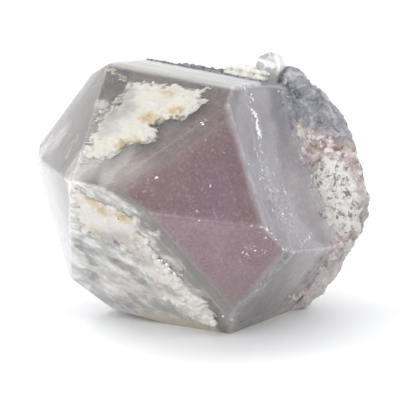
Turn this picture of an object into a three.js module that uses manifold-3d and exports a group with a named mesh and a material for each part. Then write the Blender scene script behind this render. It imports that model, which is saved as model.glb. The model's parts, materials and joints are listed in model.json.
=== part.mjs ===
// Hematite phantom quartz: a stubby quartz crystal, broken from the rock with a lump of matrix on its root.
// The crystal grew in two stages. The inner one, the phantom, was dusted with hematite, and clear quartz
// then closed over it. Pale crusts sit on two of its pyramid faces and on the rim of the rock.
//
// The crystal is laid out about its own long axis, with +Z towards the tip, and then tipped over on its side
// to lie as it rests. Every face is a plane: its direction is fixed by the laws of quartz, and only its
// distance from the middle of the crystal is this specimen's own. Millimetres, +Z up, resting on Z = 0.
import * as THREE from "three";
import { mergeVertices } from "three/addons/utils/BufferGeometryUtils.js";
import Module from "manifold-3d";

const wasm = await Module();
wasm.setup();

// ---- driving dimensions ----
const PYRAMID_TILT = 51.8; // degrees from the long axis to the normal of a pyramid face
const PRISM_TILT = 90;
const STEEP_TILT = 84; // the narrow facets between the pyramid and the prism
const GAP = 0.3; // clearance between pieces that touch in the real specimen
const BLOCK = 90; // side of the cube that the crystal's faces are cut from

// Each face: degrees round the long axis, tilt from it, distance from the middle,
// and how deep beneath it the phantom's own face lies.
const FACES = {
  topPyramid: { turn: 90, tilt: PYRAMID_TILT, distance: 18.1, cover: 2.1 },
  rightPyramid: { turn: 30, tilt: PYRAMID_TILT, distance: 20.0, cover: 1.6 },
  lowerPyramid: { turn: -30, tilt: PYRAMID_TILT, distance: 20.6, cover: 1.6 },
  frontPyramid: { turn: -90, tilt: PYRAMID_TILT, distance: 16.35, cover: 1.8 },
  leftPyramid: { turn: -150, tilt: PYRAMID_TILT, distance: 17.5, cover: 3.2 },
  upperPyramid: { turn: 150, tilt: PYRAMID_TILT, distance: 18.25, cover: 3.2 },
  topPrism: { turn: 90, tilt: PRISM_TILT, distance: 16.0, cover: 1.8 },
  rightPrism: { turn: 30, tilt: PRISM_TILT, distance: 15.65, cover: 1.6 },
  lowerPrism: { turn: -30, tilt: PRISM_TILT, distance: 19.1, cover: 1.6 },
  frontPrism: { turn: -90, tilt: PRISM_TILT, distance: 17.1, cover: 2.4 },
  leftPrism: { turn: -150, tilt: PRISM_TILT, distance: 16.1, cover: 3.2 },
  upperPrism: { turn: 150, tilt: PRISM_TILT, distance: 17.7, cover: 3.2 },
  topSteep: { turn: 90, tilt: STEEP_TILT, distance: 16.05, cover: 1.8 },
  rightSteep: { turn: 30, tilt: STEEP_TILT, distance: 16.5, cover: 1.6 },
  lowerSteep: { turn: -30, tilt: 80, distance: 20.25, cover: 1.6 },
};

// Corners knocked off the crystal, as the planes that cut them.
const CHIPS = {
  lowLeftCorner: { turn: -115, tilt: 75, distance: 18.3 },
  leftPoint: { turn: 178, tilt: 56, distance: 19.8 },
  topLeftCorner: { turn: 118, tilt: 84, distance: 18.15 },
};

const ROOT_LEVEL = -10; // where the crystal broke off, along its long axis
const PHANTOM_ROOT = ROOT_LEVEL + 0.4; // the phantom ends just inside the break
const COVER_UNDERNEATH = 1.8; // clear quartz left between the phantom and the worn flat

// How the crystal lies: the turn of its axis on the ground, the lean of the axis from upright, its own roll.
const HEADING = -26.2;
const LEAN = 84.9;
const ROLL = -8.8;
const MIDDLE = new THREE.Vector3(-2.52, 1.37, 16.9); // the middle of the crystal above the ground

// The rock on the root: a rounded block about the long axis, swollen on two sides.
const ROCK = {
  level: -12.2, // of its widest ring, along the long axis
  radius: 17.2,
  swellings: [
    { reach: 4.3, turn: 8, sharpness: 1.5 },
    { reach: 1.7, turn: 190, sharpness: 1.5 },
  ],
  front: 5.6, // reach towards the tip from the widest ring
  creep: { reach: 2.6, turn: 80, sharpness: 2 }, // the side where it climbs further up the crystal
  back: 8.2,
  squareness: 3.0, // 2 is an ellipsoid, more is blockier
  detail: 13,
};

// The unevenness of the rock: crossing waves, each with a heading whose length is its tightness.
const WAVES = [
  { heading: [6.2, -2.4, 1.8], phase: 1.3, height: 0.28 },
  { heading: [2.4, 5.6, 5.2], phase: 4.1, height: 0.24 },
  { heading: [-9.5, 7.9, 4.8], phase: 0.4, height: 0.2 },
  { heading: [8.1, 9.9, -10.3], phase: 2.6, height: 0.17 },
  { heading: [16.2, -13.4, 12.1], phase: 5.2, height: 0.14 },
  { heading: [-11.8, 17.6, 14.5], phase: 3.3, height: 0.13 },
];

// The faces where the rock broke, as planes like the crystal's.
const BREAKS = {
  backLeft: { turn: 205, tilt: 140, distance: 22.0 },
  backTop: { turn: 80, tilt: 136, distance: 22.0 },
  backRight: { turn: 5, tilt: 132, distance: 24.4 },
  backLow: { turn: -60, tilt: 148, distance: 22.2 },
  backMiddle: { turn: 40, tilt: 170, distance: 18.8 },
  shoulder: { turn: 50, tilt: 80, distance: 19.4 },
  brow: { turn: 43, tilt: 113, distance: 24.0 },
  cheek: { turn: 28, tilt: 115, distance: 23.6 },
  lowShoulder: { turn: -22, tilt: 102, distance: 22.3 },
};

// A small crystal grown beside the main one, at the edge of the rock.
const SIDE_CRYSTAL = {
  sides: 6,
  radius: 2.0,
  length: 4.4,
  tip: { height: 0.9, share: 0.45 }, // its blunt end, and what is left of the radius there
  root: [4.7, 14.2, -7.6],
  lean: -10,
};

// What the crusts share: how far apart their edges turn, how ragged they are, and the lumps on top.
const CRUST = {
  bevel: 0.25,
  edgeStep: 1.3,
  cornerWander: 0.2,
  edgeWander: 0.55,
  lumps: 14,
  lumpRadius: { least: 0.57, most: 1.33 },
  lumpHeight: 0.5, // as a share of the lump's radius
};

// Each crust, outlined on the flat of its face: first across the face, then up it towards the tip.
const UPPER_CRUST = {
  face: FACES.topPyramid,
  depth: 0.35,
  seed: 11,
  outline: [
    [6, 1.5], [4, 1.5], [1, 1], [-0.5, 1.5], [-2, 0], [-4.5, 1], [-6.5, 0], [-7, 3], [-6.5, 6],
    [-3.5, 8.5], [-5, 11.5], [-2.5, 13], [-1.5, 16], [1.5, 18], [2.5, 14.5], [4.5, 8.5], [3.5, 6], [4, 2.5],
  ],
};
const LOWER_CRUST = {
  face: FACES.frontPyramid,
  depth: 0.35,
  seed: 23,
  outline: [
    [0.5, 22.5], [1, 20.5], [3.5, 20], [6.5, 18.5], [6.5, 14], [7, 10], [8.5, 7.5], [10, 4], [11.5, 2.5],
    [12, -1.5], [9.5, -4.5], [8, -3], [5.5, 0], [4, 5.5], [2, 11.5], [-2, 11.5], [-3, 14.5], [-1.5, 21],
  ],
};
const REAR_CRUST = {
  face: FACES.topPrism,
  depth: 0.75,
  seed: 37,
  outline: [[3, -4.6], [0, -4], [-3, -4.4], [-5.4, -4], [-5.4, -8.5], [1, -9], [4, -8.5]],
};

// ---- geometry helpers ----
const radians = THREE.MathUtils.degToRad;
const LONG_AXIS = new THREE.Vector3(0, 0, 1);
const SAME_POINT = 1e-4; // vertices closer than this are one

// The outward normal of a face.
function normalOf({ turn, tilt }) {
  const around = new THREE.Vector3(Math.cos(radians(turn)), Math.sin(radians(turn)), 0);
  return around.multiplyScalar(Math.sin(radians(tilt))).setZ(Math.cos(radians(tilt)));
}

// A closed three.js geometry as a solid that can be cut and joined.
function solid(geometry) {
  const bare = geometry.clone();
  bare.deleteAttribute("normal");
  bare.deleteAttribute("uv");
  const merged = mergeVertices(bare, SAME_POINT);
  return new wasm.Manifold(
    new wasm.Mesh({
      numProp: 3,
      vertProperties: new Float32Array(merged.attributes.position.array),
      triVerts: new Uint32Array(merged.index.array),
    }),
  );
}

// A solid back as a three.js geometry.
function geometryOf(made) {
  const mesh = made.getMesh();
  return new THREE.BufferGeometry()
    .setAttribute("position", new THREE.BufferAttribute(new Float32Array(mesh.vertProperties), 3))
    .setIndex(new THREE.BufferAttribute(new Uint32Array(mesh.triVerts), 1));
}

// What is left of a solid below a plane, given by its outward normal and distance.
function cutBelow(made, normal, distance) {
  return made.trimByPlane(normal.clone().negate().toArray(), -distance);
}

// A repeatable source of numbers from 0 to 1.
function dice(seed) {
  let state = seed;
  return () => {
    state = (state * 16807) % 2147483647;
    return state / 2147483647;
  };
}

// ---- the lie of the specimen ----
const specimen = new THREE.Group();
specimen.position.copy(MIDDLE);
specimen.rotation.z = radians(HEADING);
const leaning = new THREE.Group();
leaning.rotation.x = radians(LEAN);
const crystalAxes = new THREE.Group();
crystalAxes.rotation.z = radians(ROLL);
leaning.add(crystalAxes);
specimen.add(leaning);
specimen.updateMatrixWorld(true);

// The ground, seen from the crystal's own axes.
const toCrystal = crystalAxes.matrixWorld.clone().invert();
const groundUp = LONG_AXIS.clone().transformDirection(toCrystal);
const groundDistance = groundUp.dot(new THREE.Vector3().applyMatrix4(toCrystal));

// ---- the quartz ----
// The space inside every face, each moved in by what inset gives for it.
function within(faces, inset) {
  const block = solid(new THREE.BoxGeometry(BLOCK, BLOCK, BLOCK));
  return Object.values(faces).reduce(
    (made, face) => cutBelow(made, normalOf(face), face.distance - inset(face)),
    block,
  );
}

// What is left of a solid on the tip side of a level along the long axis.
const aboveLevel = (made, level) => cutBelow(made, LONG_AXIS.clone().negate(), -level);

// What is left of a solid more than a given height above the ground.
const aboveGround = (made, height) => cutBelow(made, groundUp.clone().negate(), -groundDistance - height);

function sideCrystal(clearance = 0) {
  const { sides, length, tip, root, lean } = SIDE_CRYSTAL;
  const radius = SIDE_CRYSTAL.radius + clearance;
  const top = length + tip.height + clearance;
  const profile = [
    [0, -clearance], [radius, -clearance], [radius, length], [tip.share * radius, top], [0, top],
  ];
  const prism = new THREE.LatheGeometry(profile.map(([x, y]) => new THREE.Vector2(x, y)), sides);
  prism.rotateZ(radians(lean));
  prism.translate(...root);
  return solid(prism);
}

// The specimen is worn flat where it rests.
const wholeCrystal = within({ ...FACES, ...CHIPS }, () => 0).add(sideCrystal());
const pocket = aboveGround(within(FACES, ({ cover }) => cover - GAP), COVER_UNDERNEATH - GAP);
const quartz = aboveGround(aboveLevel(wholeCrystal, ROOT_LEVEL), 0).subtract(pocket);
const earlier = within(FACES, ({ cover }) => cover);
const phantom = aboveGround(aboveLevel(earlier, PHANTOM_ROOT), COVER_UNDERNEATH);

// ---- the rock ----
// How far the rock stands out at a point of the unit ball.
function unevenness(point) {
  return WAVES.reduce(
    (sum, { heading, phase, height }) =>
      sum + height * Math.sin(point.dot(new THREE.Vector3(...heading)) + phase),
    0,
  );
}

// A swelling that is greatest at one turn round the long axis and dies away to either side.
function swell({ reach, turn, sharpness }, facing) {
  return reach * Math.max(0, Math.cos(facing - radians(turn))) ** sharpness;
}

// The rock before it broke, or with a clearance all round it.
function rockLump(clearance) {
  const { level, radius, swellings, front, creep, back, squareness, detail } = ROCK;
  const ball = new THREE.IcosahedronGeometry(1, detail);
  const points = ball.getAttribute("position");
  const point = new THREE.Vector3();
  for (let i = 0; i < points.count; i++) {
    point.fromBufferAttribute(points, i).normalize();
    const facing = Math.atan2(point.y, point.x);
    const wide = swellings.reduce((sum, side) => sum + swell(side, facing), radius);
    const deep = point.z > 0 ? front + swell(creep, facing) : back;
    const across = Math.hypot(point.x, point.y) / wide;
    const along = Math.abs(point.z) / deep;
    const size = (across ** squareness + along ** squareness) ** (-1 / squareness);
    point.multiplyScalar(size + unevenness(point) + clearance);
    points.setXYZ(i, point.x, point.y, point.z + level);
  }
  return solid(ball);
}

const seat = aboveLevel(within(FACES, () => -GAP), ROOT_LEVEL - GAP);
const brokenRock = Object.values(BREAKS).reduce(
  (made, face) => cutBelow(made, normalOf(face), face.distance),
  rockLump(0),
);
const rock = aboveGround(brokenRock.subtract(seat).subtract(sideCrystal(GAP)), 0);

// ---- the crusts ----
// The ragged edge of a crust: its corners joined by short steps that wander.
function raggedEdge(corners, roll) {
  return corners.flatMap((from, i) => {
    const to = corners[(i + 1) % corners.length];
    const steps = Math.max(1, Math.round(from.distanceTo(to) / CRUST.edgeStep));
    return Array.from({ length: steps }, (_, k) => {
      const wander = new THREE.Vector2(roll() - 0.5, roll() - 0.5);
      wander.multiplyScalar(k ? CRUST.edgeWander : CRUST.cornerWander);
      return from.clone().lerp(to, k / steps).add(wander);
    });
  });
}

// A low lump on the top of a crust.
function crustLump(at, height, roll) {
  const { lumpRadius, lumpHeight } = CRUST;
  const radius = THREE.MathUtils.lerp(lumpRadius.least, lumpRadius.most, roll());
  const lump = new THREE.IcosahedronGeometry(radius, 1);
  lump.scale(1, 1, lumpHeight);
  lump.rotateZ(2 * Math.PI * roll());
  lump.translate(at.x, at.y, height);
  return solid(lump);
}

// A thin uneven layer on a face: a ragged outline, bevelled, with small lumps over it.
function crust({ face, depth, seed, outline }) {
  const roll = dice(seed);
  const { bevel, lumps } = CRUST;
  const corners = outline.map(([x, y]) => new THREE.Vector2(x, y));
  const edge = raggedEdge(corners, roll);
  const layer = new THREE.ExtrudeGeometry(new THREE.Shape(edge), {
    depth, bevelThickness: bevel, bevelSize: bevel, bevelOffset: -bevel, bevelSegments: 1,
  });
  layer.translate(0, 0, bevel);
  const around = new THREE.Box2().setFromPoints(corners);
  const reach = around.getSize(new THREE.Vector2());
  const heaped = [];
  while (heaped.length < lumps) {
    const at = new THREE.Vector2(roll(), roll()).multiply(reach).add(around.min);
    if (contains(edge, at)) heaped.push(crustLump(at, depth + bevel, roll));
  }
  const outwards = normalOf(face);
  const across = new THREE.Vector3().crossVectors(LONG_AXIS, outwards).normalize();
  const upwards = new THREE.Vector3().crossVectors(outwards, across);
  const onFace = new THREE.Matrix4().makeBasis(across, upwards, outwards);
  onFace.setPosition(outwards.clone().multiplyScalar(face.distance + GAP));
  const made = heaped.reduce((whole, lump) => whole.add(lump), solid(layer));
  return made.trimByPlane([0, 0, 1], 0).transform(onFace.toArray());
}

// Whether an outline goes round a point.
function contains(outline, at) {
  return outline.reduce((isInside, a, i) => {
    const b = outline[(i + 1) % outline.length];
    const crosses = a.y > at.y !== b.y > at.y && at.x < ((b.x - a.x) * (at.y - a.y)) / (b.y - a.y) + a.x;
    return crosses ? !isInside : isInside;
  }, false);
}

const upperCrust = crust(UPPER_CRUST);
const lowerCrust = aboveGround(crust(LOWER_CRUST), GAP);
const rearCrust = crust(REAR_CRUST).subtract(rockLump(GAP)).subtract(sideCrystal(GAP));

// ---- the pieces ----
function piece(name, made, color, roughness, extra = {}) {
  const looks = { color, roughness, metalness: 0, flatShading: true, ...extra };
  const mesh = new THREE.Mesh(geometryOf(made), new THREE.MeshStandardMaterial(looks));
  mesh.name = name;
  crystalAxes.add(mesh);
}

piece("clear_quartz", quartz, 0xb8b6b8, 0.08, { transparent: true, opacity: 0.35 });
piece("hematite_phantom", phantom, 0x8f777d, 0.45);
piece("rock_matrix", rock, 0xb9a49c, 0.9);
piece("upper_crust", upperCrust, 0xe8e5de, 0.85);
piece("lower_crust", lowerCrust, 0xdedad3, 0.85);
piece("rear_crust", rearCrust, 0xe9e5d8, 0.85);

export default specimen;
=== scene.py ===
"""Hematite phantom quartz: the looks of the specimen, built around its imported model.

The crystal is modelled in its own axes, in millimetres, with +Z towards its tip. Each piece is then laid in
place by one matrix, LIE, which turns those axes to the way the specimen rests and scales them to metres.
"""

import json
import math
import random

import bpy
from mathutils import Matrix, Vector, noise

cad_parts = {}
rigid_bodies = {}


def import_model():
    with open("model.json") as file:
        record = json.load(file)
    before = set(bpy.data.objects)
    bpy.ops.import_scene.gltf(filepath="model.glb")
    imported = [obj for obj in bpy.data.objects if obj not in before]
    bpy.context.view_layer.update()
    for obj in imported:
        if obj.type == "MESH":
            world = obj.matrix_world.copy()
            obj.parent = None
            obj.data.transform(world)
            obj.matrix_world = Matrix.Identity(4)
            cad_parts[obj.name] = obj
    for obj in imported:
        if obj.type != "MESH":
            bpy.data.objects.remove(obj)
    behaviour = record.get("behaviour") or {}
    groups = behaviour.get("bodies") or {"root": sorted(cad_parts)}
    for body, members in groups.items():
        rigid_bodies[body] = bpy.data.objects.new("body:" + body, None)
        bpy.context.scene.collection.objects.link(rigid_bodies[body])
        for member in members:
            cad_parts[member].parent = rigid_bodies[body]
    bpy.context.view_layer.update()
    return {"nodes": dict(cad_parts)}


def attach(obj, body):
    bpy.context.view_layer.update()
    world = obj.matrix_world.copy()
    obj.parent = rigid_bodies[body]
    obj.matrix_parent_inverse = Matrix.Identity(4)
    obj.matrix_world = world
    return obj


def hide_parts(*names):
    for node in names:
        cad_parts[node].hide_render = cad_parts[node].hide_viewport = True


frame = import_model()

NOISE_SEED = 3  # fixes the noise vectors, and with them the crusts' ragged edges
noise.seed_set(NOISE_SEED)

# ---- the crystal's driving dimensions, in millimetres and degrees ----
MM = 0.001
PYRAMID, PRISM, STEEP = 51.8, 90, 84  # tilt of a face's normal from the long axis

# Each face: degrees round the long axis, tilt from it, distance from the middle, and how much clear quartz
# lies between it and the same face of the phantom.
FACES = {
    "top_pyramid": (90, PYRAMID, 18.1, 1.45),
    "right_pyramid": (30, PYRAMID, 20, 0.7),
    "lower_pyramid": (-30, PYRAMID, 20.6, 0.7),
    "front_pyramid": (-90, PYRAMID, 16.35, 1.15),
    "left_pyramid": (-150, PYRAMID, 17.5, 3.2),
    "upper_pyramid": (150, PYRAMID, 18.25, 3.2),
    "top_prism": (90, PRISM, 16, 0.7),
    "right_prism": (30, PRISM, 15.65, 0.8),
    "lower_prism": (-30, PRISM, 19.1, 0.9),
    "front_prism": (-90, PRISM, 17.1, 2.4),
    "left_prism": (-150, PRISM, 16.1, 3.2),
    "upper_prism": (150, PRISM, 17.7, 3.2),
    "top_steep": (90, STEEP, 16.05, 0.7),
    "right_steep": (30, STEEP, 16.5, 0.5),
    "lower_steep": (-30, 80, 20.25, 0.5),
}
COVER = {face: cover for face, (*_, cover) in FACES.items()}

# Corners knocked off the crystal, as the planes that cut them.
KNOCKS = {
    "low_left_corner": (-115, 75, 18.3),
    "left_point": (178, 56, 19.8),
    "top_left_corner": (118, 84, 18.15),
}

# The small blunt crystal beside the main one, at the edge of the rock.
SIDE_CRYSTAL = {
    "radius": 2,
    "length": 4.4,
    "tip": 1.1,
    "tip_share": 0.4,  # what is left of the radius at the tip
    "root": Vector((5.05, 14.45, -7.6)),
    "middle": Vector((5.05, 17.05, -7.6)),
    "lean": -10,
}

# Chips on the crystal's edges: by the two faces, a place in the first, the scoop's radius and depth.
CHIPS = {
    ("right_pyramid", "lower_pyramid"): ((-8.3, 4.5, 1.1, 0.25), (-8.6, 3, 0.8, 0.22)),
    ("lower_pyramid", "right_steep"): ((8, -0.8, 0.9, 0.3), (7.6, -2, 1.2, 0.3)),
    ("lower_pyramid", "lower_steep"): (
        (6.4, -3.4, 1, 0.28), (1.5, -4.6, 0.9, 0.2), (-2.5, -4.6, 0.8, 0.18),
    ),
    ("right_pyramid", "right_steep"): (
        (2.5, 2.4, 0.7, 0.15), (-2, 2.4, 0.9, 0.2), (-5.6, 2.4, 0.7, 0.16),
    ),
    ("front_pyramid", "lower_pyramid"): ((9, 6, 1, 0.2),),
}

SCOOP_ROUGHNESS = (0.8, 0.25)  # size and strength, for a scoop of radius 1

# What the crusts share, in mm: the wander and teeth of their edges as (scale, amount, layer of the noise),
# and their terraces as (margin, thickness).
CRUST = {
    "cell": 0.16,
    "voxel": 0.12,
    "wander": (0.8, 0.7, 0),
    "teeth": (2.6, 0.6, 9),
    "terraces": ((0, 0.35), (0.8, 0.7), (1.8, 1)),
    "cluster_lumps": 7,
    "stray": 0.6,
    "rise": 0.6,  # of the lumps' middles, as a share of the crust's depth
    "sink": 0.06,
    "roughness": (("lumps", 1.1, 0.3), ("grit", 0.3, 0.13)),  # (name, size, strength)
    "opaque": 0.22,  # height over the face, in mm, from which the crust hides it
}

COMPASS = (0, 1.05, 2.09, 3.14, 4.19, 5.24)  # the six ways, in radians, in which a margin is kept

# Each crust, outlined on the flat of its face: first across the face, then up it towards the tip.
CRUSTS = {
    "upper_crust": {
        "seed": 11,
        "depth": 0.45,
        "lumps": 26,
        "lump_size": (0.35, 0.9),
        "clusters": [(-3, 3.5), (2, 15), (-4.5, 10)],
        "outline": [
            (6, 1.5), (4, 1.5), (1, 1), (-0.5, 1.5), (-2, 0), (-4.5, 1), (-6.5, 0), (-7, 3), (-6.5, 6),
            (-3.5, 8.5), (-5, 11.5), (-2.5, 13), (-1.5, 16), (1.5, 18), (2.5, 14.5), (4.5, 8.5), (3.5, 6),
            (4, 2.5),
        ],
    },
    "lower_crust": {
        "seed": 23,
        "depth": 0.5,
        "lumps": 90,
        "lump_size": (0.4, 1.15),
        "clusters": [
            (7.4, 10), (8.3, 8.8), (8.8, 7.6), (9.2, 2.8), (9.9, 1.6), (10.2, 0.5), (10.6, -2), (8.8, -1),
            (7.3, 0.8), (10.8, -3), (6, 12.5), (5, 10),
        ],
        "outline": [
            (0.5, 22.5), (1, 20.5), (3.5, 20), (6.5, 18.5), (6.5, 14), (7, 10), (8.5, 7.5), (10, 4),
            (11.5, 2.5), (12, -1.5), (9.5, -4.5), (8, -3), (5.5, 0), (4, 5.5), (2, 11.5), (-2, 11.5),
            (-3, 14.5), (-1.5, 21),
        ],
    },
    "rear_crust": {
        "seed": 37,
        "depth": 1.7,
        "lumps": 90,
        "lump_size": (0.35, 0.9),
        "clusters": [(-1, -6.5), (-3, -6), (-5, -4), (-6.2, -3), (-2, -5)],
        "outline": [(0.6, -7), (-1, -4.4), (-3, -2.6), (-5.4, -1.4), (-7.2, -0.6), (-5.8, -8.5), (0, -9)],
    },
}

# Veils in the clear quartz, by face: place across and up it, depth beneath it, length, width, turn in the
# face and dip into it, in degrees.
VEILS = {
    "front_pyramid": (
        (-3, 6.5, 1, 9, 4, -45, 14),
        (0.5, 4.5, 0.8, 10, 4, -40, -12),
        (-4.5, 3, 1.1, 7, 3.5, -50, 10),
        (2, 0, 0.9, 8, 4, -30, 12),
        (3, 12.5, 1, 6, 4, -60, 15),
    ),
    "left_pyramid": ((-3, 3, 1.2, 12, 5, 5, 12), (2, 6, 1.5, 10, 5, -8, -10)),
    "upper_pyramid": (
        (-6.5, 9.5, 1.5, 3.5, 2.5, 60, 20),
        (2, 2, 1.2, 6, 4, 10, 18),
        (0, 9, 2, 7, 4, 80, -15),
    ),
}

VEIL_CELLS = {"x_subdivisions": 24, "y_subdivisions": 16}

# How far from the crystal the rock is drawn down onto it, and how deep it then bites, in mm.
SOCKET_REACH = 1.6
SOCKET_BITE = 0.03

# The crumbs along the rock's rim: how near the face its edge is looked for, and their number and size.
RIM_FACES = ("top_prism", "right_prism", "lower_prism", "front_prism", "left_prism", "upper_prism")
RIM = {
    "reach": (0.05, 0.9),
    "step": 0.5,
    "lumps": 2,
    "lump_size": (0.8, 1.5),
    "crumbs": 7,
    "crumb_size": (0.15, 0.6),
    "straggle": 0.8,
    "behind": 0.5,  # how far back of the rim the straggling starts
    "drift": 0.3,
    "lift": 0.1,  # of each crumb over its face, as a share of its size
    "creep": 2.2,
    "creep_scale": 0.45,
    "least_creep": -0.3,
    "seed": 17,
}

# Bright grains on the faces: across, up and size. Each falls into shards, as (share of its size, drift).
SPARKLE_SHARDS = ((0.7, 0), (0.45, 0.2), (0.4, 0.3), (0.3, 0.4), (0.3, 0.5), (0.2, 0.6), (0.2, 0.8))
SPARKLE_SEED = 5
SPARKLE_SIZE, SPARKLE_STRETCH, SPARKLE_FLATNESS = (0.6, 1.2), (0.7, 2), 0.5  # shares of a shard's size
SPARKLE_FLOOR = {"front_pyramid": 0.35}  # the height of what the grains lie on, over the face
SPARKLES = {
    "right_pyramid": (
        (4.3, 5, 0.28), (-0.7, 12.8, 0.3), (-0.8, 14, 0.16), (-0.4, 13.3, 0.12), (-2, 15, 0.2),
        (-2.1, 13.9, 0.12), (1.1, 4.7, 0.16), (-3.2, 6.5, 0.26), (-5.6, 9.1, 0.22), (-6.8, 9.2, 0.12),
        (0.3, 3.3, 0.14), (-1.1, 14.2, 0.14), (-0.1, 9.7, 0.12), (-3.7, 9.4, 0.12), (-6.3, 7, 0.18),
        (-6.9, 6.8, 0.12), (3.1, 8.2, 0.14), (2.4, 5.3, 0.12),
    ),
    "lower_pyramid": (
        (7.8, 2.4, 0.22), (8.2, 1.1, 0.24), (8.2, 0.2, 0.24), (8.1, -0.6, 0.22), (7.6, -1.7, 0.22),
        (7.2, -0.4, 0.18), (7.5, 0.8, 0.16), (4.2, 0.9, 0.2), (4.2, 0.3, 0.24), (5.1, 0.3, 0.22),
        (5.1, -0.4, 0.2), (3.9, -0.3, 0.2), (4.9, 1.1, 0.16), (5.6, -1.1, 0.2), (5.4, -1.7, 0.2),
        (6.2, -1.9, 0.16), (4.7, -1.2, 0.16), (6.9, -3.4, 0.24), (3, 0.4, 0.16), (2, 0.2, 0.14),
        (1.5, -4.2, 0.2), (1.8, 12.1, 0.16), (2.6, 10.5, 0.14), (-3, -0.7, 0.2), (-4.6, -2.9, 0.24),
        (-1.8, -3.3, 0.22),
    ),
    "front_pyramid": (
        (7.2, 10.2, 0.48), (7.7, 10.4, 0.36), (8.1, 9.7, 0.48), (8.2, 8.8, 0.42), (8.7, 7.8, 0.48),
        (7.6, 9.2, 0.36), (7.3, 0.8, 0.36), (9.2, 2.8, 0.48), (9.7, 1.9, 0.42), (10.1, 0.9, 0.54),
        (10.3, -0.3, 0.48), (10.2, -1.4, 0.48), (10.8, -2.8, 0.48), (9, -0.8, 0.36), (10.6, -2.1, 0.42),
        (8.6, 4, 0.24), (6.6, 12, 0.24),
    ),
    "right_prism": (
        (5.4, 7.6, 0.5), (5, 7, 0.8), (4.5, 6.9, 0.8), (4, 7.1, 0.7), (3.5, 7.5, 0.6), (3, 7.5, 0.9),
        (2.6, 7.5, 0.7), (2.2, 7.8, 0.6), (1.7, 8.3, 0.4), (2.2, 7.1, 0.4), (0.8, 8.3, 0.3),
        (-0.2, 8.6, 0.3),
        (8.2, 7.9, 0.5), (7.6, 7.7, 0.4), (7.5, 6.3, 0.4), (6.9, 6.2, 0.4), (6.4, 7.4, 0.3),
        (7.1, 6.9, 0.26), (6.1, 8.6, 0.24), (0.2, 10.4, 0.26), (-0.3, 10.2, 0.3), (-1.7, 13.6, 0.26),
        (-3.5, 11.3, 0.26), (-2.5, 10.2, 0.24), (-1, 4.5, 0.2), (-3.1, 7, 0.22), (-5, 5.2, 0.24),
        (-5.4, 5.2, 0.3), (-5.2, 7.3, 0.2), (-5.9, 10, 0.24), (-7, 9.3, 0.22), (-5.8, 3.6, 0.2),
        (-6.9, 2.1, 0.2), (-7.6, 10.7, 0.26), (-7.6, 5.3, 0.24), (-8.1, 8, 0.26), (-8.8, 7.5, 0.24),
        (-8.8, 4.9, 0.2), (-11.3, 1.9, 0.34), (-11.7, 2.6, 0.3), (-12, 3.8, 0.34), (-12.2, 4.9, 0.3),
        (-12.5, 5.6, 0.26), (-10.9, 0.9, 0.22), (-12.6, 4.3, 0.2), (-8.4, 4.9, 0.2), (8.2, -4.4, 0.3),
        (7.8, -5.8, 0.3), (7.1, -6.8, 0.26), (6.2, -7.3, 0.3), (5.3, -6.6, 0.2), (6.8, -5.4, 0.2),
        (4.8, -7.7, 0.3), (3.8, -8, 0.34), (5.8, -8.2, 0.3), (8.4, -3.2, 0.26), (2.6, -7.6, 0.24),
    ),
}

# Knobs of rock round the crystal: place in the crystal's axes, and size.
KNOBS = (
    (-10.6, 15.6, -7, 1.7), (-9.7, 15.9, -6.6, 1.7), (-8.8, 15.9, -6.3, 1.6), (-7.7, 15.8, -6.8, 1.8),
    (-6.5, 15.9, -6.4, 1.6), (-5.5, 16, -6.8, 1.9), (-4.3, 16, -6.6, 1.8), (-3.1, 16.1, -7, 1.9),
    (-2, 16.1, -7.2, 1.9), (-10.4, 15.5, -8.6, 2.2), (-9, 15.6, -8.5, 2.3), (-7.6, 15.6, -8.7, 2.4),
    (-6.2, 15.7, -8.4, 2.3), (-4.8, 15.7, -8.6, 2.4), (-3.4, 15.8, -8.7, 2.4), (-2, 15.9, -9, 2.4),
    (6.4, 17.5, -9.4, 2.4), (7.1, 17.5, -9, 2.7), (7.9, 17.2, -8.9, 2.8), (8.8, 16.9, -8.8, 2.8),
    (9.7, 16.5, -8.8, 2.8), (10.7, 16.1, -8.9, 2.6), (11.6, 15.5, -9, 2.5),
)

# The dark ledge across the top face: from and to, step, crumbs to a step, their size, level and slant up
# the face, how far back they spread, and how much of its size each one sinks in.
LEDGE = {
    "ends": (-9.3, 8.2),
    "step": 0.25,
    "crumbs": 3,
    "size": (0.2, 0.62),
    "level": 0.7,
    "slant": 0.12,
    "spread": 0.9,
    "sink": 0.1,
}

# The rock: the cells that it is drawn on before and after its lumps join it, the share of its faces that is
# kept, and its roughness as (pattern, size, strength, middle level, settings).
ROCK = {
    "voxels": (0.26, 0.22),
    "kept": 0.58,
    "roughness": (
        ("VORONOI", 3.2, 1.2, 0.25, {"weight_1": -1, "weight_2": 1}),
        ("MUSGRAVE", 2.2, 0.2, 0.6, {"musgrave_type": "RIDGED_MULTIFRACTAL"}),
        ("CLOUDS", 0.6, 0.4, 0.5, {"noise_depth": 4}),
    ),
}

LUMP_ROUGHNESS, GRAIN_ROUGHNESS = 0.3, 0.35  # how far a lump and a bright grain are broken up, in mm

# Widths of the rounding along edges, and the angle in degrees from which an edge counts as one.
SIDE_BEVEL, QUARTZ_BEVEL, PHANTOM_BEVEL = 0.14, 0.12, 0.06
SHARP = 12
SMOOTH = 24  # degrees up to which faces are shaded as one

FULL_TURN = 6.28  # radians
EDGE_STEPS = 40  # by which the middle of a chip closes in on its edge
BLOCK = 90  # side of the cube that the faces are cut from
ROOT_LEVEL = -10
PHANTOM_ROOT = -9.6
COVER_UNDERNEATH = 1.8
GAP = 0.3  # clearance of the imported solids
MIDDLE = Vector((-2.52, 1.37, 16.9))  # of the crystal, above the ground
HEADING, LEAN, ROLL = -26.2, 84.9, -8.8

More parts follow.
